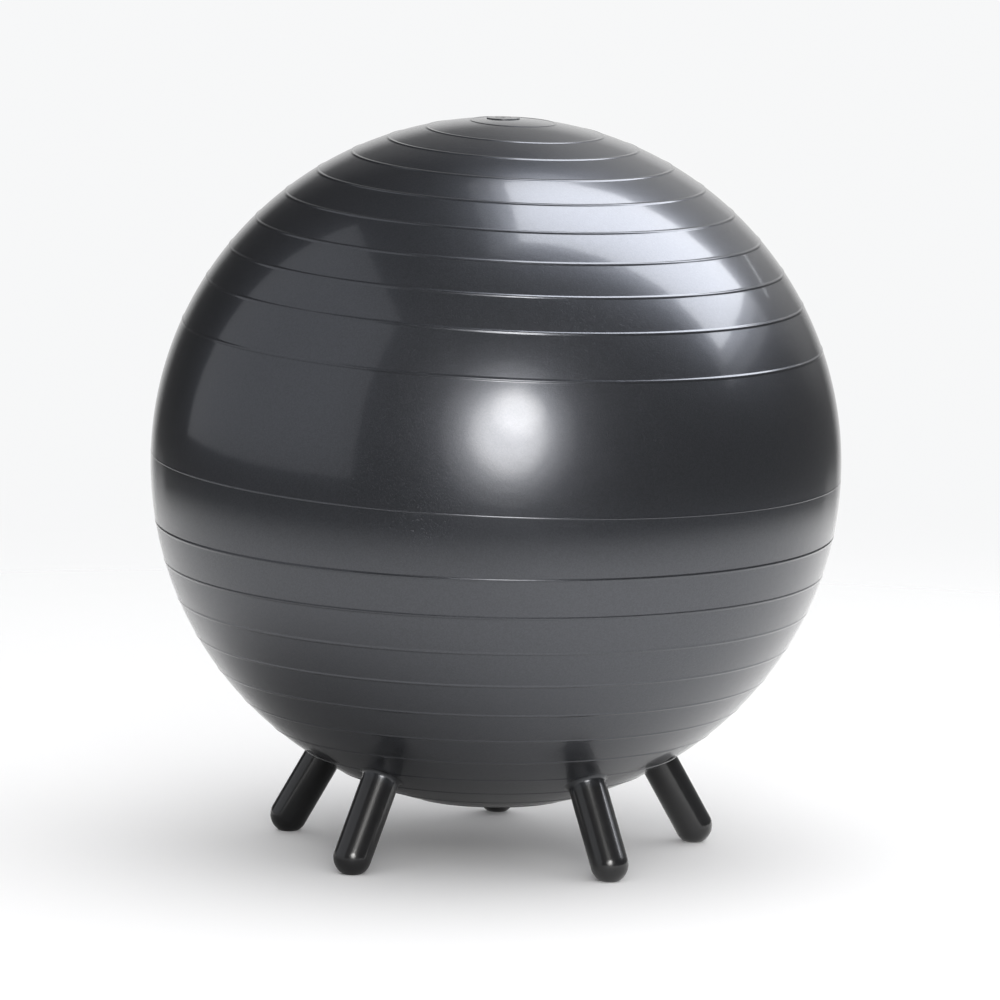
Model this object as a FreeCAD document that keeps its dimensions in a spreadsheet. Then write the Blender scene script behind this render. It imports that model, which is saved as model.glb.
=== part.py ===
import FreeCAD, Part
import math
import os
import Sketcher

# Balance ball chair: an inflated, ribbed ball that stands on five short hollow feet.
# The feet point straight out from the middle of the ball, evenly spaced round its underside.
# Frame: millimetres, +Z up, -Y is the front, origin on the floor under the middle of the ball.
# Every body is drawn about the middle of the ball and then placed at its real height.

# Driving dimensions, in millimetres and degrees
SIZES = {
    # ball
    "ball_radius": 325.0,
    "ball_wall": 1.0,
    # raised ribs that circle the ball, given by the radius of their half-round section
    "rib_radius": 0.9,
    "seam_radius": 0.35,
    # latitudes of the ribs, counted from the moulding seam round the widest part
    "crown_rib_latitude": 83.0,
    "upper_rib_top_latitude": 75.2,
    "upper_rib_pitch": 6.4,
    "band_rib_latitude": 22.3,
    "lower_rib_top_latitude": -10.6,
    "lower_rib_pitch": 6.6,
    # feet
    "foot_radius": 17.75,
    "foot_length": 99.0,
    "foot_tilt": 30.0,
    "foot_wall": 2.5,
    "foot_tip_wall": 6.0,
    "foot_root_fillet": 5.0,
    "foot_flat_depth": 2.0,
    # valve collar, seated in the hole at the top of the ball
    "valve_hole_radius": 12.0,
    "valve_flange_radius": 15.5,
    "valve_flange_height": 0.9,
    "valve_flange_round": 0.6,
    "valve_seal_radius": 17.5,
    "valve_seal_thickness": 1.5,
    "valve_neck_radius": 8.5,
    "valve_neck_length": 17.0,
    "valve_bore_radius": 4.0,
    "valve_recess_radius": 7.3,
    "valve_recess_depth": 2.0,
    # valve plug, which drops into the collar
    "plug_head_gap": 0.3,
    "plug_stem_clearance": 0.05,
    "plug_stem_length": 15.0,
    "plug_ridge_height": 0.5,
    "plug_ridge_length": 1.6,
    "plug_ridge_pitch": 3.6,
    "plug_head_round": 0.5,
    "plug_dimple_radius": 2.5,
    "plug_dimple_depth": 0.6,
}

UPPER_RIBS = 8
LOWER_RIBS = 12
FEET = 5
PLUG_RIDGES = 3

# Feet by name, with the compass angle of each from +X; the rear one is the first of the circle
FOOT_NAMES = ("foot_rear", "foot_side_left", "foot_front_left", "foot_front_right", "foot_side_right")
REAR_ANGLE = 90.0
FOOT_STEP = 360.0 / FEET


class Formula:
    """A number together with the sheet formula that it comes from."""

    def __init__(self, number, text):
        self.number = number
        self.text = text

    def join(self, sign, other, number):
        return Formula(number, "(%s %s %s)" % (self.text, sign, other.text))

    def __add__(self, other):
        other = formula(other)
        return self.join("+", other, self.number + other.number)

    def __sub__(self, other):
        other = formula(other)
        return self.join("-", other, self.number - other.number)

    def __mul__(self, other):
        other = formula(other)
        return self.join("*", other, self.number * other.number)

    def __truediv__(self, other):
        other = formula(other)
        return self.join("/", other, self.number / other.number)

    def __neg__(self):
        return Formula(-self.number, "(-1 * %s)" % self.text)


def formula(value):
    """A plain number as a formula."""
    if isinstance(value, Formula):
        return value
    return Formula(float(value), repr(float(value)))


def root(value):
    return Formula(math.sqrt(value.number), "sqrt(%s)" % value.text)


def leg(long_side, short_side):
    """The other short side of a right-angled triangle."""
    return root(long_side * long_side - short_side * short_side)


def sine(degrees):
    degrees = formula(degrees)
    return Formula(math.sin(math.radians(degrees.number)), "sin(%s)" % degrees.text)


def cosine(degrees):
    degrees = formula(degrees)
    return Formula(math.cos(math.radians(degrees.number)), "cos(%s)" % degrees.text)


doc = FreeCAD.newDocument("balance_ball_chair")
sheet = doc.addObject("Spreadsheet::Sheet", "Sizes")
for row, (alias, number) in enumerate(SIZES.items(), start=1):
    sheet.set("A%d" % row, alias)
    sheet.set("B%d" % row, str(number))
    sheet.setAlias("B%d" % row, alias)
doc.recompute()


def size(alias):
    """A driving dimension of the sheet."""
    return Formula(SIZES[alias], "Sizes.%s" % alias)


# Sizes that follow from the driving ones
ball_radius = size("ball_radius")
inner_radius = ball_radius - size("ball_wall")
foot_radius = size("foot_radius")
root_fillet = size("foot_root_fillet")
fillet_orbit = ball_radius + root_fillet
fillet_offset = foot_radius + root_fillet
fillet_height = leg(fillet_orbit, fillet_offset)
foot_hole_radius = fillet_offset * ball_radius / fillet_orbit
tip_centre = ball_radius + size("foot_length") - foot_radius
floor_reach = foot_radius - size("foot_flat_depth")
centre_height = tip_centre * cosine(size("foot_tilt")) + floor_reach
flange_top = ball_radius + size("valve_flange_height")
recess_floor = flange_top - size("valve_recess_depth")


def new_body(label, turn, pitch):
    """A body drawn about the middle of the ball, tipped by pitch and then turned about +Z."""
    body = doc.addObject("PartDesign::Body", label)
    body.Label = label
    placement = (
        "create(<<placement>>; create(<<vector>>; 0; 0; %s); create(<<rotation>>; %s; %s; 0))"
        % (centre_height.text, formula(turn).text, formula(pitch).text)
    )
    body.setExpression("Placement", placement)
    return body


def origin_part(body, role):
    """One of the body's own axes or planes, by its role."""
    return [item for item in body.Origin.OriginFeatures if item.Role == role][0]


def upright_sketch(body, name, role="XZ_Plane"):
    """A sketch on an upright plane through the body's own Z axis."""
    sketch = body.newObject("Sketcher::SketchObject", name)
    sketch.AttachmentSupport = [(origin_part(body, role), "")]
    sketch.MapMode = "FlatFace"
    return sketch


def bind(sketch, kind, where, value):
    """Add a dimension to a sketch and tie it to the sheet."""
    index = sketch.addConstraint(Sketcher.Constraint(kind, *where, value.number))
    sketch.setExpression("Constraints[%d]" % index, value.text)


def pin_point(sketch, geometry, end, corner):
    """Hold one end of an edge at a corner, on the axis where the corner lies there."""
    across, up = corner
    if across is None:
        sketch.addConstraint(Sketcher.Constraint("PointOnObject", geometry, end, -2))
    else:
        bind(sketch, "DistanceX", (-1, 1, geometry, end), across)
    bind(sketch, "DistanceY", (-1, 1, geometry, end), up)


def vector(corner):
    across, up = corner
    return FreeCAD.Vector(0.0 if across is None else across.number, up.number, 0.0)


def draw_outline(sketch, start, moves):
    """Closed outline. A move is (corner,) for a straight side, or
    (corner, radius, centre, turn) for an arc that turns left (1) or right (-1)."""
    first, second = 1, 2
    corner = start
    edges = []
    for move in moves:
        target = move[0]
        if len(move) == 1:
            edge = Part.LineSegment(vector(corner), vector(target))
            ends = (first, second)
            radius = None
        else:
            radius, centre, turn = move[1:]
            middle = vector(centre)
            low, high = (corner, target) if turn > 0 else (target, corner)
            angles = [math.atan2(p.y - middle.y, p.x - middle.x) for p in (vector(low), vector(high))]
            if angles[1] < angles[0]:
                angles[1] += 2.0 * math.pi
            circle = Part.Circle(middle, FreeCAD.Vector(0, 0, 1), radius.number)
            edge = Part.ArcOfCircle(circle, angles[0], angles[1])
            ends = (first, second) if turn > 0 else (second, first)
        half_turn = radius is not None and corner[0] is None and target[0] is None
        edges.append((sketch.addGeometry(edge, False), ends, radius, corner, half_turn))
        corner = target
    for place, (geometry, ends, radius, begin, half_turn) in enumerate(edges):
        following, next_ends = edges[(place + 1) % len(edges)][:2]
        sketch.addConstraint(Sketcher.Constraint("Coincident", geometry, ends[1], following, next_ends[0]))
        pin_point(sketch, geometry, ends[0], begin)
        if half_turn:
            sketch.addConstraint(Sketcher.Constraint("PointOnObject", geometry, 3, -2))
        elif radius is not None:
            bind(sketch, "Radius", (geometry,), radius)


def spin(body, name, sketch, kind, axis):
    """Turn a sketch right round an axis, to add or to remove material."""
    feature = body.newObject(kind, name)
    feature.Profile = sketch
    feature.ReferenceAxis = (sketch, [axis])
    feature.Angle = 360.0
    sketch.Visibility = False
    return feature


def on_slope(direction, distance, offset):
    """Point at a distance from the middle of the ball along a direction (sine, cosine from +Z),
    and offset square to it."""
    across, up = direction
    return (across * distance + up * offset, up * distance - across * offset)


def cut_round_hole(body, name, direction, radius):
    """Round hole through the wall of the ball, centred on a direction from its middle."""
    sketch = upright_sketch(body, name + "_sketch")
    near = inner_radius - radius
    far = ball_radius + radius
    low, high = on_slope(direction, near, formula(0)), on_slope(direction, far, formula(0))
    outer_high, outer_low = on_slope(direction, far, radius), on_slope(direction, near, radius)
    draw_outline(sketch, low, [(outer_low,), (outer_high,), (high,), (low,)])
    axis = sketch.addGeometry(Part.LineSegment(vector(low), vector(high)), True)
    pin_point(sketch, axis, 1, low)
    pin_point(sketch, axis, 2, high)
    return spin(body, name, sketch, "PartDesign::Groove", "Axis0")


def rib_latitudes():
    """Latitudes of all ribs, from the crown down."""
    yield size("crown_rib_latitude")
    for count in range(UPPER_RIBS):
        yield size("upper_rib_top_latitude") - size("upper_rib_pitch") * count
    yield size("band_rib_latitude")
    for count in range(LOWER_RIBS):
        yield size("lower_rib_top_latitude") - size("lower_rib_pitch") * count


def make_ball():
    """Thin hollow ball with its ribs, its moulding seam and its six holes. The wall and the ribs are
    turned from the YZ plane, so that the line where they close runs between two feet."""
    body = new_body("ball_shell", REAR_ANGLE, 0)
    middle = (formula(0), formula(0))
    wall = upright_sketch(body, "wall_sketch", "YZ_Plane")
    draw_outline(
        wall,
        (None, -ball_radius),
        [
            ((None, ball_radius), ball_radius, middle, 1),
            ((None, inner_radius),),
            ((None, -inner_radius), inner_radius, middle, -1),
            ((None, -ball_radius),),
        ],
    )
    spin(body, "wall", wall, "PartDesign::Revolution", "V_Axis")

    ribs = upright_sketch(body, "rib_sketch", "YZ_Plane")
    sections = [(latitude, size("rib_radius")) for latitude in rib_latitudes()]
    sections.append((formula(0), size("seam_radius")))
    for latitude, radius in sections:
        centre = (ball_radius * cosine(latitude), ball_radius * sine(latitude))
        circle = Part.Circle(vector(centre), FreeCAD.Vector(0, 0, 1), radius.number)
        geometry = ribs.addGeometry(circle, False)
        bind(ribs, "Radius", (geometry,), radius)
        bind(ribs, "DistanceX", (-1, 1, geometry, 3), centre[0])
        bind(ribs, "DistanceY", (-1, 1, geometry, 3), centre[1])
    spin(body, "ribs", ribs, "PartDesign::Revolution", "V_Axis")

    cut_round_hole(body, "valve_hole", (formula(0), formula(1)), size("valve_hole_radius"))
    tilt = size("foot_tilt")
    foot_hole = cut_round_hole(body, "foot_hole", (sine(tilt), -cosine(tilt)), foot_hole_radius)
    pattern = body.newObject("PartDesign::PolarPattern", "foot_holes")
    pattern.Originals = [foot_hole]
    pattern.Axis = (origin_part(body, "Z_Axis"), [""])
    pattern.Angle = 360.0
    pattern.Occurrences = FEET
    body.Tip = pattern
    return body


def make_collar():
    """Valve collar: a flange on the ball, a seal inside the wall and a neck that hangs in the air."""
    body = new_body("valve_collar", 0, 0)
    middle = (formula(0), formula(0))
    hole, flange, seal = size("valve_hole_radius"), size("valve_flange_radius"), size("valve_seal_radius")
    neck, bore, recess = size("valve_neck_radius"), size("valve_bore_radius"), size("valve_recess_radius")
    rounding = size("valve_flange_round")
    seal_foot = leg(inner_radius, seal) - size("valve_seal_thickness")
    neck_foot = inner_radius - size("valve_neck_length")
    round_orbit = flange_top - rounding
    round_offset = flange - rounding
    round_height = leg(round_orbit, round_offset)
    round_centre = (round_offset, round_height)
    round_start = (round_offset * flange_top / round_orbit, round_height * flange_top / round_orbit)
    sketch = upright_sketch(body, "collar_sketch")
    draw_outline(
        sketch,
        (bore, neck_foot),
        [
            ((neck, neck_foot),),
            ((neck, seal_foot),),
            ((seal, seal_foot),),
            ((seal, leg(inner_radius, seal)),),
            ((hole, leg(inner_radius, hole)), inner_radius, middle, 1),
            ((hole, leg(ball_radius, hole)),),
            ((flange, leg(ball_radius, flange)), ball_radius, middle, -1),
            ((flange, round_height),),
            (round_start, rounding, round_centre, 1),
            ((recess, leg(flange_top, recess)), flange_top, middle, 1),
            ((recess, recess_floor),),
            ((bore, recess_floor),),
            ((bore, neck_foot),),
        ],
    )
    spin(body, "collar", sketch, "PartDesign::Revolution", "V_Axis")
    return body


def make_plug():
    """Valve plug: a flush round head with a dimple, and a stem with grip ridges and a round end."""
    body = new_body("valve_plug", 0, 0)
    ridge = size("valve_bore_radius") - size("plug_stem_clearance")
    stem = ridge - size("plug_ridge_height")
    head = size("valve_recess_radius") - size("plug_head_gap")
    rounding = size("plug_head_round")
    dimple_radius, dimple_depth = size("plug_dimple_radius"), size("plug_dimple_depth")
    dimple_ball = (dimple_radius * dimple_radius + dimple_depth * dimple_depth) / (dimple_depth * 2)
    stem_end = recess_floor - size("plug_stem_length")
    ridge_length, pitch = size("plug_ridge_length"), size("plug_ridge_pitch")
    moves = [((stem, stem_end + stem), stem, (formula(0), stem_end + stem), 1)]
    for count in range(PLUG_RIDGES):
        low = stem_end + stem + pitch * count
        moves.append(((ridge, low + ridge_length / 2),))
        moves.append(((ridge, low + ridge_length),))
        moves.append(((stem, low + ridge_length),))
        if count < PLUG_RIDGES - 1:
            moves.append(((stem, low + pitch),))
    moves += [
        ((stem, recess_floor),),
        ((head, recess_floor),),
        ((head, flange_top - rounding),),
        ((head - rounding, flange_top), rounding, (head - rounding, flange_top - rounding), 1),
        ((dimple_radius, flange_top),),
        (
            (None, flange_top - dimple_depth),
            dimple_ball,
            (formula(0), flange_top - dimple_depth + dimple_ball),
            -1,
        ),
        ((None, stem_end),),
    ]
    sketch = upright_sketch(body, "plug_sketch")
    draw_outline(sketch, (None, stem_end), moves)
    spin(body, "plug", sketch, "PartDesign::Revolution", "V_Axis")
    return body


def make_foot(label, turn):
    """Hollow foot, drawn straight up its own axis and then tipped over: a flange let into the ball's
    wall, a filleted root, a straight finger and a round tip, cut flat where it meets the floor."""
    tilt = size("foot_tilt")
    body = new_body(label, turn, formula(180) - tilt)
    middle = (formula(0), formula(0))
    bore = foot_radius - size("foot_wall")
    bore_fillet = root_fillet + size("foot_wall") - size("ball_wall") / 2
    bore_orbit = inner_radius + bore_fillet
    bore_offset = bore + bore_fillet
    bore_height = leg(bore_orbit, bore_offset)
    bore_start = (bore_offset * inner_radius / bore_orbit, bore_height * inner_radius / bore_orbit)
    bore_centre = tip_centre - size("foot_tip_wall") + size("foot_wall")
    sketch = upright_sketch(body, label + "_sketch")
    draw_outline(
        sketch,
        bore_start,
        [
            ((foot_hole_radius, leg(inner_radius, foot_hole_radius)), inner_radius, middle, -1),
            ((foot_hole_radius, leg(ball_radius, foot_hole_radius)),),
            ((foot_radius, fillet_height), root_fillet, (fillet_offset, fillet_height), -1),
            ((foot_radius, tip_centre),),
            ((None, tip_centre + foot_radius), foot_radius, (formula(0), tip_centre), 1),
            ((None, bore_centre + bore),),
            ((bore, bore_centre), bore, (formula(0), bore_centre), -1),
            ((bore, bore_height),),
            (bore_start, bore_fillet, (bore_offset, bore_height), 1),
        ],
    )
    spin(body, label + "_finger", sketch, "PartDesign::Revolution", "V_Axis")

    floor = upright_sketch(body, label + "_floor_sketch")
    down = (sine(tilt), cosine(tilt))
    corners = []
    for depth, side in ((0, -1), (0, 1), (1, 1), (1, -1)):
        reach = floor_reach + foot_radius * depth
        along = foot_radius * side
        across = down[0] * reach + down[1] * along
        up = tip_centre + down[1] * reach - down[0] * along
        corners.append((across, up))
    draw_outline(floor, corners[0], [(corner,) for corner in corners[1:] + corners[:1]])
    flat = body.newObject("PartDesign::Pocket", label + "_flat")
    flat.Profile = floor
    flat.Midplane = True
    flat.setExpression("Length", (foot_radius * 3).text)
    floor.Visibility = False
    return body


bodies = [make_ball(), make_collar(), make_plug()]
for place, foot_name in enumerate(FOOT_NAMES):
    bodies.append(make_foot(foot_name, REAR_ANGLE + FOOT_STEP * place))

doc.recompute()

for item in doc.Objects:
    if "Invalid" in item.State or "Error" in item.State:
        raise RuntimeError("%s failed: %s" % (item.Label, item.State))
for body in bodies:
    if body.Shape.isNull() or not body.Shape.isValid():
        raise RuntimeError("%s has no valid shape" % body.Label)
    if len(body.Shape.Solids) != 1:
        raise RuntimeError("%s is not one solid" % body.Label)

os.makedirs("parts", exist_ok=True)
for body in bodies:
    body.Shape.exportStep("parts/%s.step" % body.Label)
    box = body.Shape.BoundBox
    print("%-18s %10.1f mm3  z %.3f to %.3f" % (body.Label, body.Shape.Volume, box.ZMin, box.ZMax))
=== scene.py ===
"""Looks of the balance ball chair: vinyl skin, feet and valve, with a pale floor and studio lights."""

import math

import bpy
from mathutils import Matrix, Vector


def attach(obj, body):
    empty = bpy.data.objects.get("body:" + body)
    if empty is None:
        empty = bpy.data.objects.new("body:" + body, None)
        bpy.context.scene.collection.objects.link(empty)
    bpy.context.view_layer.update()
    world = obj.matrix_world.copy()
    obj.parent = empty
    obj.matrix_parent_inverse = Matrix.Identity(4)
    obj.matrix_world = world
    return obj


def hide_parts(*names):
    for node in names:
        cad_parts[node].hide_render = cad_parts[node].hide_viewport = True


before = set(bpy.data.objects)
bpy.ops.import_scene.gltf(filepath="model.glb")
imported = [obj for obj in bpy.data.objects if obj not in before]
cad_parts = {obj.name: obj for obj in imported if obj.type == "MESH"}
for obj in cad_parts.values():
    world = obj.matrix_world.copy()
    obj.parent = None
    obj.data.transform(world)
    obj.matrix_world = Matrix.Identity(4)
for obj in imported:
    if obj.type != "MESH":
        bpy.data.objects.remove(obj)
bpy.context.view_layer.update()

# Sizes in metres and degrees. They are the part's own, but the skin's rings are lower and softer.
BALL_RADIUS = 0.325
WALL = 0.001
VALVE_HOLE = 0.012
RIB_HEIGHT = 0.0005
RIB_HALF_WIDTH = 0.0021
SEAM_HEIGHT = 0.00015
SEAM_HALF_WIDTH = 0.0008
CAP_RIB = 83.0
UPPER_RIB = 75.2
UPPER_PITCH = 6.4
UPPER_COUNT = 8
SHOULDER_RIB = 22.3
LOWER_RIB = -10.6
LOWER_PITCH = 6.6
LOWER_COUNT = 12
FOOT_RADIUS = 0.01775
FOOT_TIP_AT = 0.40625
FOOT_TILT = 30.0
FOOT_FILLET = 0.005
FOOT_ROOT_DEPTH = 3.0 * WALL
TIP_FLAT = 0.002
FEET = {
    "foot_rear": 90.0,
    "foot_side_left": 162.0,
    "foot_front_left": 234.0,
    "foot_front_right": 306.0,
    "foot_side_right": 18.0,
}
CENTRE = Vector((0.0, 0.0, FOOT_TIP_AT * math.cos(math.radians(FOOT_TILT)) + FOOT_RADIUS - TIP_FLAT))

# How far the inflated ball's rings lean to the right and to the front, in degrees, by latitude.
LEAN = (
    (-90.0, 0.0, 0.0),
    (-60.0, -0.4, 1.0),
    (-35.0, 0.0, 1.3),
    (-10.0, 0.2, 1.3),
    (0.0, 1.3, 1.4),
    (30.0, 1.7, 1.6),
    (70.0, 1.9, 1.7),
    (75.2, 2.1, 1.7),
    (83.0, 1.7, 1.2),
    (87.5, 0.0, 0.0),
)

# Mesh fineness: counts of segments and steps, and steps in degrees.
SKIN_SEGMENTS = 288
SKIN_STEP = 0.75
RIB_SAMPLES = 12
INNER_STEP = 3.0
FOOT_SEGMENTS = 96
FOOT_SECTIONS = 14
FILLET_STEPS = 16
TIP_STEPS = 30
FLOOR_SEGMENTS = 96

# Clearances of the plain skin's steps: half widths from a ring, and degrees from the valve hole.
RIB_CLEARANCE = 1.3
TOP_CLEARANCE = 0.2

# In metres: how far a foot's root edge lies under the skin's surface, and how softly its tip turns flat.
SKIN_LAP = 0.00004
TIP_SOFTNESS = 0.0006

# The camera, fitted to the photograph: degrees, metres and pixels of a 1000 px square picture.
CAMERA_AZIMUTH = 2.2
CAMERA_ELEVATION = 7.4
CAMERA_ROLL = 1.2
CAMERA_DISTANCE = 8.125
FOCAL_PX = 8630.0
PICTURE_PX = 1000.0
CENTRE_PX = (496.0, 462.2)

# The camera's sensor width in millimetres and far limit in metres.
SENSOR_WIDTH = 36.0
FAR_CLIP = 100.0

# Vinyl colours, and the distances from the ball's centre over which a foot's root takes its own colour.
BALL_TONES = ((0.073, 0.077, 0.088), (0.086, 0.09, 0.103))
FLAKE_TONE = (0.105, 0.11, 0.125)
ROOT_TONE = (0.06, 0.063, 0.07)
FOOT_TONES = ((0.006, 0.006, 0.007), (0.012, 0.012, 0.013))
ROOT_BLEND = (0.3275, 0.337)
METALLIC_BALL = 0.85
COLLAR_TONES = ((0.05, 0.052, 0.057), (0.07, 0.072, 0.078))
PLUG_TONES = ((0.04, 0.041, 0.044), (0.06, 0.061, 0.065))

# Lamps: middle from the ball's centre and two edge vectors, in metres to the right, away and up.
KEY = ((3.4, 1.79, 5.77), (6.1, 1.25, -4.14), (0.34, -4.01, -0.15))
LEFT_WALL = ((-6.7, -0.9, 5.2), (0.0, 10.6, 0.0), (0.0, 0.0, 10.6))
FRONT_LAMP = ((0.57, -7.64, 2.31), (3.17, 0.0, 0.0), (0.0, 1.01, 3.43))
LAMP_CORE = ((0.96, -7.27, 3.2), (2.1, 0.0, 0.0), (0.0, 0.87, 1.97))
STRIP = ((4.75, 5.85, 2.85), (0.8, -0.8, -0.45), (0.22, 0.1, 0.2))
OVERHEAD = ((0.9, -0.3, 1.85), (5.6, 0.0, 0.0), (0.0, 8.6, 0.0))
KEY_RADIANCE = 3.6
WALL_RADIANCE = 0.3
STRIP_RADIANCE = 1.2
OVERHEAD_RADIANCE = 1.25
ENERGY_PER_RADIANCE = 4.0
COOL = (0.925, 0.95, 1.0)
WARM = (1.0, 0.99, 0.97)
NEUTRAL = (1.0, 1.0, 1.0)

# Soft edges of lamps: sizes against the lamp's own and radiances, each step this much further away.
KEY_GLOW = ((1.17, 0.7), (1.42, 0.42))
LAMP_STEPS = ((2.0, 0.35), (1.6, 0.6), (1.3, 1.4), (1.15, 1.4), (1.0, 1.2), (0.8, 0.8))
CORE_STEPS = ((1.2, 1.3), (1.0, 1.3), (0.75, 1.3))
STEP_BACK = 0.02

# The floor as the camera sees it: colours, and the distances in metres over which it fades out.
FLOOR_RINGS = (0.0, 0.5, 1.0, 2.0, 3.0)
PAPER = (0.8, 0.8, 0.805)
PAPER_GLOW = (0.09, 0.09, 0.092)
PAPER_FADE = (0.5, 2.6)

# The floor as reflections see it, with painted shadow and painted light on it: places to the right and away,
# distances from them and levels.
# The painted shadow of the ball: its middle, the distances over which it fades out, and the floor's colour
# inside and outside it.
SHADE_PLACE = (-0.22, -0.03, 0.0)
SHADE_REACH = (0.05, 0.5)
SHADE_LEVELS = (0.2, 0.6)
# Painted light on the floor, stronger to the right: places along the right, glow levels there, distances from
# the middle and shares of the glow.
PAINTED_LIGHT_SIDES = (-0.3, 0.35)
PAINTED_LIGHT_LEVELS = (0.02, 0.16)
PAINTED_LIGHT_REACH = (0.1, 0.4)
PAINTED_LIGHT_SHARES = (0.6, 1.0)
MIRROR_PLACE = (0.0, 0.5, 0.0)
MIRROR_FADE = (1.2, 2.1)

# Patches of the room that reflections see: direction, inner and outer angle in degrees, outer and inner level.
ROOM_PATCHES = (
    ((-0.5, 0.6, 0.62), 18.0, 70.0, 0.09, 0.03),
    ((0.0, 1.0, 0.0), 5.0, 26.0, 0.0, 0.6),
    ((0.1, 0.88, 0.47), 6.0, 30.0, 0.0, 0.16),
    ((0.42, 0.78, 0.47), 8.0, 30.0, 0.0, 0.3),
)
SHEET_PATCH = ((0.02, 0.98, -0.18), 31.0, 38.0, 0.0, 0.34)
SHEET_DROP = (0.09, 0.17)
BACKDROP = (0.93, 0.935, 0.94)


# Places of the colour sockets on a Mix node.
MIX_COLOUR_INPUTS = (6, 7)
MIX_COLOUR_OUTPUT = 2


def studio_axes():
    """Unit vectors to the right, away from the camera and up, as seen from its side."""
    turn = math.radians(CAMERA_AZIMUTH)
    right = Vector((math.cos(turn), math.sin(turn), 0.0))
    away = Vector((-math.sin(turn), math.cos(turn), 0.0))
    return right, away, Vector((0.0, 0.0, 1.0))


def studio_vector(right, away, up):
    axes = studio_axes()
    return axes[0] * right + axes[1] * away + axes[2] * up


def mesh_object(name, points, faces):
    mesh = bpy.data.meshes.new(name)
    mesh.from_pydata(points, [], faces)
    mesh.validate()
    mesh.shade_smooth()
    piece = bpy.data.objects.new(name, mesh)
    bpy.context.scene.collection.objects.link(piece)
    return piece


def lathe(name, outline, segments):
    """Turns an outline of (radius, height) pairs about Z. Ends on the axis become single points."""
    points = []
    rings = []
    for radius, height in outline:
        if radius == 0.0:
            rings.append([len(points)] * segments)
            points.append((0.0, 0.0, height))
            continue
        rings.append(list(range(len(points), len(points) + segments)))
        for step in range(segments):
            turn = 2.0 * math.pi * step / segments
            points.append((radius * math.cos(turn), radius * math.sin(turn), height))
    faces = []
    for lower, upper in zip(rings, rings[1:]):
        for step in range(segments):
            after = (step + 1) % segments
            corners = [lower[step], lower[after], upper[after], upper[step]]
            faces.append(list(dict.fromkeys(corners)))
    return mesh_object(name, points, faces)


def lean_at(latitude):
    """The two leans in degrees at a latitude, eased between the listed ones."""
    for (low, *first), (high, *second) in zip(LEAN, LEAN[1:]):
        if latitude <= high:
            share = max(0.0, (latitude - low) / (high - low))
            share = share * share * (3.0 - 2.0 * share)
            return [start + (end - start) * share for start, end in zip(first, second)]
    return LEAN[-1][1:]


def lean_rings(skin):
    """Turns each ring of the skin about the ball's centre by its own two leans."""
    viewer = studio_vector(0.0, -1.0, 0.0)
    right = studio_vector(1.0, 0.0, 0.0)
    for vertex in skin.data.vertices:
        latitude = math.degrees(math.asin(max(-1.0, min(1.0, vertex.co.z / vertex.co.length))))
        to_right, to_front = lean_at(latitude)
        turn = Matrix.Rotation(-math.radians(to_right), 3, viewer)
        tip = Matrix.Rotation(math.radians(to_front), 3, right)
        vertex.co = turn @ tip @ vertex.co
    skin.data.update()


def rib_rise(offset, half_width, height):
    """Height of a rounded bead at a distance from its middle, with a soft foot on either side."""
    if abs(offset) >= half_width:
        return 0.0
    return height * (0.5 + 0.5 * math.cos(math.pi * offset / half_width))


def skin_beads():
    """The skin's rings and its seam: latitude, half width and height."""
    beads = [(CAP_RIB, RIB_HALF_WIDTH, RIB_HEIGHT)]
    beads += [(UPPER_RIB - UPPER_PITCH * step, RIB_HALF_WIDTH, RIB_HEIGHT) for step in range(UPPER_COUNT)]
    beads.append((SHOULDER_RIB, RIB_HALF_WIDTH, RIB_HEIGHT))
    beads.append((0.0, SEAM_HALF_WIDTH, SEAM_HEIGHT))
    beads += [(LOWER_RIB - LOWER_PITCH * step, RIB_HALF_WIDTH, RIB_HEIGHT) for step in range(LOWER_COUNT)]
    return beads


def skin_latitudes(beads):
    """Even steps over the plain skin, and finer ones over each bead."""
    top = math.degrees(math.acos(VALVE_HOLE / BALL_RADIUS))
    latitudes = {top}
    for step in range(1, int(180.0 / SKIN_STEP)):
        latitude = -90.0 + SKIN_STEP * step
        clear = all(
            abs(latitude - middle) > math.degrees(RIB_CLEARANCE * half / BALL_RADIUS)
            for middle, half, _ in beads
        )
        if clear and latitude < top - TOP_CLEARANCE:
            latitudes.add(latitude)
    for middle, half, _ in beads:
        for step in range(-RIB_SAMPLES // 2 - 1, RIB_SAMPLES // 2 + 2):
            latitudes.add(middle + math.degrees(2.0 * step * half / RIB_SAMPLES / BALL_RADIUS))
    return sorted(latitudes)


def skin_outline():
    """The ball's outer side from the bottom pole up to the valve hole, then its inner side back down."""
    beads = skin_beads()
    outline = [(0.0, -BALL_RADIUS)]
    for latitude in skin_latitudes(beads):
        rise = 0.0
        for middle, half, height in beads:
            rise += rib_rise(math.radians(latitude - middle) * BALL_RADIUS, half, height)
        reach = BALL_RADIUS + rise
        angle = math.radians(latitude)
        outline.append((reach * math.cos(angle), reach * math.sin(angle)))
    inner = BALL_RADIUS - WALL
    inner_top = math.degrees(math.acos(VALVE_HOLE / inner))
    for step in range(int((inner_top + 90.0) / INNER_STEP)):
        angle = math.radians(inner_top - INNER_STEP * step)
        outline.append((inner * math.cos(angle), inner * math.sin(angle)))
    outline.append((0.0, -inner))
    return outline


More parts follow.
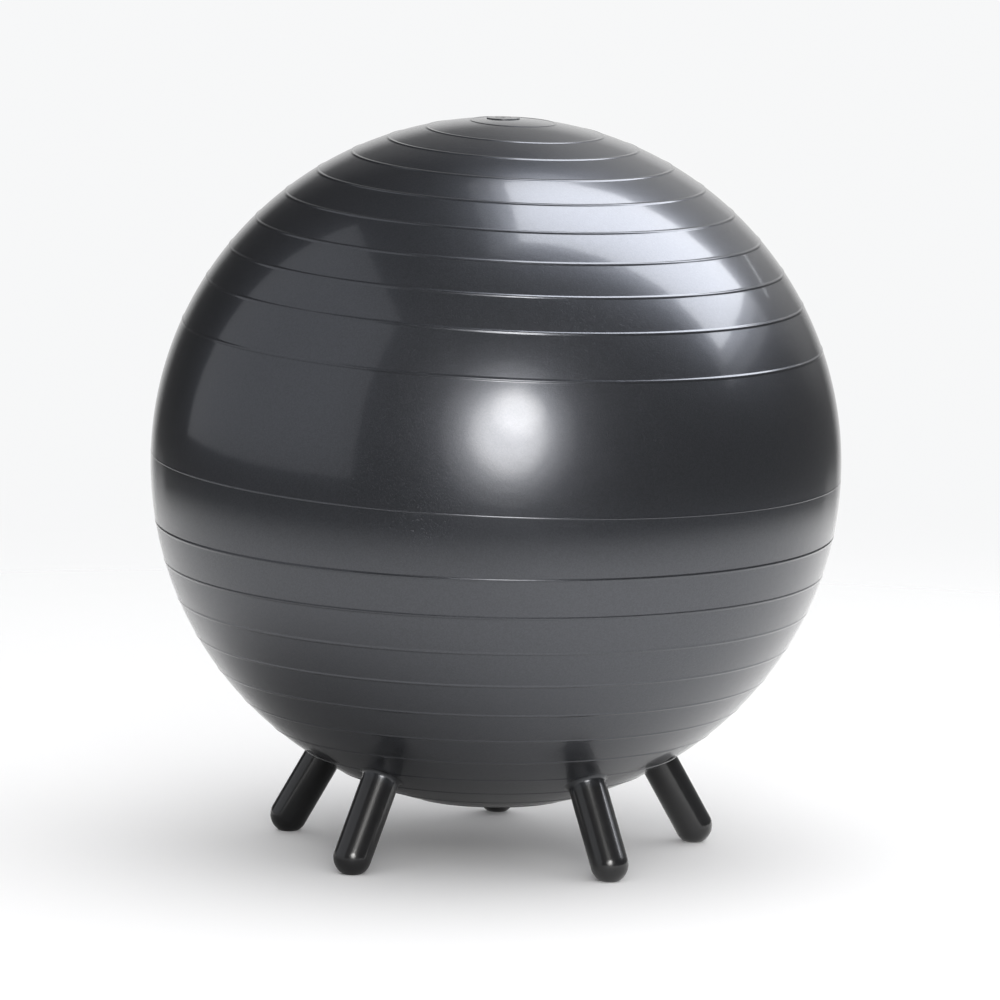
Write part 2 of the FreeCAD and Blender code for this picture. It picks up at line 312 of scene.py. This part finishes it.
def foot_outline():
    """A foot's side along its own axis from the ball's centre: root inside the wall, fillet, tip."""
    seat = BALL_RADIUS - SKIN_LAP
    fillet_radius = FOOT_RADIUS + FOOT_FILLET
    fillet_reach = seat + FOOT_FILLET
    fillet_along = math.sqrt(fillet_reach**2 - fillet_radius**2)
    lean = math.atan2(fillet_radius, fillet_along)
    root = seat * math.cos(lean) - FOOT_ROOT_DEPTH
    outline = [(0.0, root), (seat * math.sin(lean), root)]
    for step in range(FILLET_STEPS + 1):
        angle = (math.pi / 2 - lean) * step / FILLET_STEPS
        across = math.sin(lean + angle)
        along = math.cos(lean + angle)
        outline.append((fillet_radius - FOOT_FILLET * across, fillet_along - FOOT_FILLET * along))
    for step in range(1, FOOT_SECTIONS + 1):
        outline.append((FOOT_RADIUS, fillet_along + (FOOT_TIP_AT - fillet_along) * step / FOOT_SECTIONS))
    for step in range(1, TIP_STEPS):
        angle = 0.5 * math.pi * step / TIP_STEPS
        outline.append((FOOT_RADIUS * math.cos(angle), FOOT_TIP_AT + FOOT_RADIUS * math.sin(angle)))
    outline.append((0.0, FOOT_TIP_AT + FOOT_RADIUS))
    return outline


def make_skin():
    skin = lathe("ball_skin", skin_outline(), SKIN_SEGMENTS)
    lean_rings(skin)
    skin.data.transform(Matrix.Translation(CENTRE))
    return skin


def make_foot(name, azimuth):
    """One foot in its place, its round tip pressed flat where it meets the floor."""
    foot = lathe(name, foot_outline(), FOOT_SEGMENTS)
    lean = Matrix.Rotation(math.radians(180.0 - FOOT_TILT), 4, "Y")
    turn = Matrix.Rotation(math.radians(azimuth), 4, "Z")
    foot.data.transform(Matrix.Translation(CENTRE) @ turn @ lean)
    for vertex in foot.data.vertices:
        height = vertex.co.z
        if height < FOOT_RADIUS:
            vertex.co.z = 0.5 * (height + math.hypot(height, TIP_SOFTNESS))
    foot.data.update()
    return foot


class Look:
    """A procedural material on one Principled shader, with helpers for its noise and bump."""

    def __init__(self, name):
        self.material = bpy.data.materials.new(name)
        self.material.use_nodes = True
        self.nodes = self.material.node_tree.nodes
        self.links = self.material.node_tree.links
        self.shader = self.nodes["Principled BSDF"]
        self.place = self.nodes.new("ShaderNodeTexCoord").outputs["Object"]

    def set(self, values):
        for socket, value in values.items():
            self.shader.inputs[socket].default_value = value

    def feed(self, socket, value):
        self.links.new(value, self.shader.inputs[socket])

    def noise(self, scale, detail=2.0):
        node = self.nodes.new("ShaderNodeTexNoise")
        node.inputs["Scale"].default_value = scale
        node.inputs["Detail"].default_value = detail
        self.links.new(self.place, node.inputs["Vector"])
        return node.outputs["Fac"]

    def flakes(self, scale):
        """One random value for each cell of a fine cell pattern."""
        node = self.nodes.new("ShaderNodeTexVoronoi")
        node.inputs["Scale"].default_value = scale
        self.links.new(self.place, node.inputs["Vector"])
        split = self.nodes.new("ShaderNodeSeparateColor")
        self.links.new(node.outputs["Color"], split.inputs["Color"])
        return split.outputs["Red"]

    def spread(self, value, low, high):
        node = self.nodes.new("ShaderNodeMapRange")
        node.inputs["To Min"].default_value = low
        node.inputs["To Max"].default_value = high
        self.links.new(value, node.inputs["Value"])
        return node.outputs["Result"]

    def blend(self, value, first, second):
        node = self.nodes.new("ShaderNodeMix")
        node.data_type = "RGBA"
        self.links.new(value, node.inputs["Factor"])
        colour(self, node.inputs[MIX_COLOUR_INPUTS[0]], first)
        colour(self, node.inputs[MIX_COLOUR_INPUTS[1]], second)
        return node.outputs[MIX_COLOUR_OUTPUT]

    def bump(self, value, distance):
        node = self.nodes.new("ShaderNodeBump")
        node.inputs["Distance"].default_value = distance
        self.links.new(value, node.inputs["Height"])
        return node.outputs["Normal"]


class Sky:
    """The world's nodes, for the same helpers."""

    def __init__(self, name):
        self.world = bpy.data.worlds.new(name)
        self.world.use_nodes = True
        self.nodes = self.world.node_tree.nodes
        self.links = self.world.node_tree.links
        self.place = self.nodes.new("ShaderNodeTexCoord").outputs["Generated"]


def colour(look, socket, value):
    """Sets a colour socket to a plain colour or links it to another socket."""
    if isinstance(value, tuple):
        socket.default_value = (*value, 1.0)
    else:
        look.links.new(value, socket)


def ramp(look, value, reach, levels):
    """A smooth change from the first level at the reach's start to the second at its end."""
    node = look.nodes.new("ShaderNodeMapRange")
    node.interpolation_type = "SMOOTHSTEP"
    node.inputs["From Min"].default_value = reach[0]
    node.inputs["From Max"].default_value = reach[1]
    node.inputs["To Min"].default_value = levels[0]
    node.inputs["To Max"].default_value = levels[1]
    look.links.new(value, node.inputs["Value"])
    return node.outputs["Result"]


def vector_value(look, operation, vector):
    """The distance of the place from a point, or the place's share along a vector."""
    node = look.nodes.new("ShaderNodeVectorMath")
    node.operation = operation
    node.inputs[1].default_value = vector
    look.links.new(look.place, node.inputs[0])
    return node.outputs["Value"]


def combined(look, operation, *values):
    result = values[0]
    for value in values[1:]:
        node = look.nodes.new("ShaderNodeMath")
        node.operation = operation
        look.links.new(result, node.inputs[0])
        look.links.new(value, node.inputs[1])
        result = node.outputs["Value"]
    return result


def joined(look, first, second, factor=None):
    """Adds two shaders, or mixes them by a factor."""
    node = look.nodes.new("ShaderNodeAddShader" if factor is None else "ShaderNodeMixShader")
    slots = list(node.inputs)
    if factor is not None:
        look.links.new(factor, slots.pop(0))
    look.links.new(first, slots[0])
    look.links.new(second, slots[1])
    return node.outputs["Shader"]


def glowing(look, value):
    node = look.nodes.new("ShaderNodeEmission")
    colour(look, node.inputs["Color"], value)
    return node.outputs["Emission"]


def matte(look, value):
    node = look.nodes.new("ShaderNodeBsdfDiffuse")
    colour(look, node.inputs["Color"], value)
    return node.outputs["BSDF"]


def ball_look():
    """Pearl anthracite vinyl: fine metallic flakes under a glossy coat."""
    look = Look("ball_vinyl")
    flakes = look.flakes(scale=900.0)
    clouds = look.noise(scale=9.0, detail=3.0)
    tone = look.blend(look.spread(clouds, low=0.2, high=0.8), *BALL_TONES)
    look.feed("Base Color", look.blend(look.spread(flakes, low=0.0, high=0.55), tone, FLAKE_TONE))
    look.feed("Roughness", look.spread(look.noise(scale=60.0), low=0.27, high=0.31))
    look.feed("Normal", look.bump(flakes, distance=0.00004))
    look.feed("Coat Normal", look.bump(look.noise(scale=35.0, detail=1.0), distance=0.00008))
    look.set({"Metallic": METALLIC_BALL, "IOR": 1.5})
    look.set({"Coat Weight": 1.0, "Coat Roughness": 0.09, "Coat IOR": 1.5})
    return look.material


def foot_look():
    """Glossy near-black vinyl that takes the ball's colour at the root."""
    look = Look("foot_vinyl")
    reach = vector_value(look, "DISTANCE", CENTRE)
    black = look.blend(look.noise(scale=30.0), *FOOT_TONES)
    look.feed("Base Color", look.blend(ramp(look, reach, ROOT_BLEND, (0.0, 1.0)), ROOT_TONE, black))
    look.feed("Metallic", ramp(look, reach, ROOT_BLEND, (METALLIC_BALL, 0.0)))
    look.feed("Roughness", look.spread(look.noise(scale=90.0), low=0.26, high=0.34))
    look.feed("Normal", look.bump(look.noise(scale=700.0), distance=0.00005))
    look.set({"IOR": 1.5, "Coat Weight": 1.0, "Coat Roughness": 0.06})
    return look.material


def valve_look(name, tones):
    look = Look(name)
    look.feed("Base Color", look.blend(look.noise(scale=120.0), *tones))
    look.feed("Roughness", look.spread(look.noise(scale=300.0), low=0.38, high=0.5))
    look.feed("Normal", look.bump(look.noise(scale=1500.0), distance=0.00002))
    look.set({"Metallic": 0.5, "Coat Weight": 1.0, "Coat Roughness": 0.15})
    return look.material


def dress(piece, material):
    piece.data.materials.clear()
    piece.data.materials.append(material)


def add_camera():
    """Looks at the ball's centre, turned so that the centre lies at its own place in the picture."""
    data = bpy.data.cameras.new("camera")
    data.sensor_width = SENSOR_WIDTH
    data.lens = data.sensor_width * FOCAL_PX / PICTURE_PX
    data.clip_end = FAR_CLIP
    camera = bpy.data.objects.new("camera", data)
    bpy.context.scene.collection.objects.link(camera)
    tilt = math.radians(CAMERA_ELEVATION)
    back = studio_vector(0.0, -math.cos(tilt), math.sin(tilt))
    right = studio_axes()[0]
    facing = Matrix((right, back.cross(right), back)).transposed()
    half = PICTURE_PX / 2.0
    seen = Vector((CENTRE_PX[0] - half, half - CENTRE_PX[1], -FOCAL_PX)).normalized()
    aim = seen.rotation_difference(Vector((0.0, 0.0, -1.0))).to_matrix()
    roll = Matrix.Rotation(math.radians(CAMERA_ROLL), 3, "Z")
    turned = (facing @ roll @ aim).to_4x4()
    turned.translation = CENTRE + back * CAMERA_DISTANCE
    camera.matrix_world = turned
    bpy.context.scene.camera = camera


def add_panel(name, place, radiance, tint, shape="RECTANGLE"):
    """An area light that faces the ball. It shows in reflections but doesn't light the floor."""
    middle, side_x, side_y = (studio_vector(*vector) for vector in place)
    data = bpy.data.lights.new(name, "AREA")
    data.shape = shape
    data.size = side_x.length
    data.size_y = side_y.length
    data.normalize = False
    data.energy = ENERGY_PER_RADIANCE * radiance
    data.color = tint
    lamp = bpy.data.objects.new(name, data)
    bpy.context.scene.collection.objects.link(lamp)
    axis_x = side_x.normalized()
    facing = axis_x.cross(side_y).normalized()
    if facing.dot(middle) < 0.0:
        facing = -facing
    placed = Matrix((axis_x, facing.cross(axis_x), facing)).transposed().to_4x4()
    placed.translation = CENTRE + middle
    lamp.matrix_world = placed
    lamp.visible_camera = False
    lamp.visible_diffuse = False
    return lamp


def stretched(vector, factor):
    return [factor * part for part in vector]


def add_stack(name, place, steps, tint, shape="RECTANGLE"):
    """Lights of several sizes, one behind another, that together have a soft edge."""
    middle, along, across = place
    lamps = []
    for number, (size, radiance) in enumerate(steps):
        further = stretched(middle, 1.0 + STEP_BACK * (number + 1))
        step_place = (further, stretched(along, size), stretched(across, size))
        lamps.append(add_panel(f"{name}_{number}", step_place, radiance, tint, shape))
    return lamps


def add_lights():
    """Soft boxes that reflections see. The front lamp and the overhead light the floor as well."""
    add_panel("key_box", KEY, KEY_RADIANCE, COOL)
    add_stack("key_glow", KEY, KEY_GLOW, COOL)
    add_panel("left_wall", LEFT_WALL, WALL_RADIANCE, COOL)
    for lamp in add_stack("front_lamp", FRONT_LAMP, LAMP_STEPS, WARM, "ELLIPSE"):
        lamp.visible_diffuse = True
    add_stack("lamp_core", LAMP_CORE, CORE_STEPS, WARM, "ELLIPSE")
    add_panel("strip", STRIP, STRIP_RADIANCE, COOL)
    overhead = add_panel("overhead", OVERHEAD, OVERHEAD_RADIANCE, NEUTRAL)
    overhead.visible_diffuse = True
    overhead.visible_glossy = False


def seen_floor(look, middle, clear):
    """The floor for the camera: pale paper that fades out into the white behind it."""
    paper = joined(look, matte(look, PAPER), glowing(look, PAPER_GLOW))
    return joined(look, paper, clear, ramp(look, middle, PAPER_FADE, (0.0, 1.0)))


def mirrored_floor(look, middle, clear):
    """The floor for reflections: a painted shadow makes it darker on the left, as in the photographed studio,
    and painted light makes it brighter on the right near the ball.
    """
    # Painted shadow: the floor's colour is darker about a spot on the left, under and beside the ball.
    distance_from_painted_shadow = vector_value(look, "DISTANCE", studio_vector(*SHADE_PLACE))
    shade = ramp(look, distance_from_painted_shadow, SHADE_REACH, SHADE_LEVELS)
    # Painted light: the floor glows more to the right, and less close under the ball.
    side = vector_value(look, "DOT_PRODUCT", studio_vector(1.0, 0.0, 0.0))
    painted_light_side = ramp(look, side, PAINTED_LIGHT_SIDES, PAINTED_LIGHT_LEVELS)
    painted_light = combined(look, "MULTIPLY", painted_light_side, ramp(look, middle, PAINTED_LIGHT_REACH, PAINTED_LIGHT_SHARES))
    # The floor's colour with its painted shadow, plus its painted light as a glow.
    painted_shadow_and_light = joined(look, matte(look, shade), glowing(look, painted_light))
    away = vector_value(look, "DISTANCE", studio_vector(*MIRROR_PLACE))
    return joined(look, painted_shadow_and_light, clear, ramp(look, away, MIRROR_FADE, (0.0, 1.0)))


def add_floor():
    """A round pale floor with one look for the camera and another for reflections."""
    floor = lathe("floor", [(radius, 0.0) for radius in FLOOR_RINGS], FLOOR_SEGMENTS)
    look = Look("floor")
    clear = look.nodes.new("ShaderNodeBsdfTransparent").outputs["BSDF"]
    middle = vector_value(look, "DISTANCE", (0.0, 0.0, 0.0))
    camera_ray = look.nodes.new("ShaderNodeLightPath").outputs["Is Camera Ray"]
    surface = joined(look, mirrored_floor(look, middle, clear), seen_floor(look, middle, clear), camera_ray)
    look.links.new(surface, look.nodes["Material Output"].inputs["Surface"])
    dress(floor, look.material)


def patch(sky, direction, inner, outer, outside, inside):
    """A round soft patch of the sky about a direction, between two angles in degrees."""
    towards = vector_value(sky, "DOT_PRODUCT", studio_vector(*direction).normalized())
    reach = (math.cos(math.radians(outer)), math.cos(math.radians(inner)))
    return ramp(sky, towards, reach, (outside, inside))


def add_world():
    """White behind the object for the camera; reflections see a dim room with the white backdrop in it."""
    sky = Sky("studio")
    bpy.context.scene.world = sky.world
    patches = [patch(sky, *room_patch) for room_patch in ROOM_PATCHES]
    drop = ramp(sky, vector_value(sky, "DOT_PRODUCT", (0.0, 0.0, -1.0)), SHEET_DROP, (0.0, 1.0))
    patches.append(combined(sky, "MULTIPLY", patch(sky, *SHEET_PATCH), drop))
    dim = sky.nodes["Background"]
    sky.links.new(combined(sky, "ADD", *patches), dim.inputs["Color"])
    white = sky.nodes.new("ShaderNodeBackground")
    colour(sky, white.inputs["Color"], BACKDROP)
    path = sky.nodes.new("ShaderNodeLightPath").outputs
    straight = combined(sky, "ADD", path["Is Camera Ray"], path["Is Transmission Ray"])
    mix = joined(sky, dim.outputs["Background"], white.outputs["Background"], straight)
    sky.links.new(mix, sky.nodes["World Output"].inputs["Surface"])


skin = make_skin()
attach(skin, "ball")
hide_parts("ball_shell")
dress(skin, ball_look())

foot_vinyl = foot_look()
for node, azimuth in FEET.items():
    foot = make_foot(node + "_skin", azimuth)
    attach(foot, "ball")
    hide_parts(node)
    dress(foot, foot_vinyl)

dress(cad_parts["valve_collar"], valve_look("valve_vinyl", COLLAR_TONES))
dress(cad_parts["valve_plug"], valve_look("plug_plastic", PLUG_TONES))

add_camera()
add_lights()
add_floor()
add_world()
bpy.context.scene.view_settings.view_transform = "Standard"
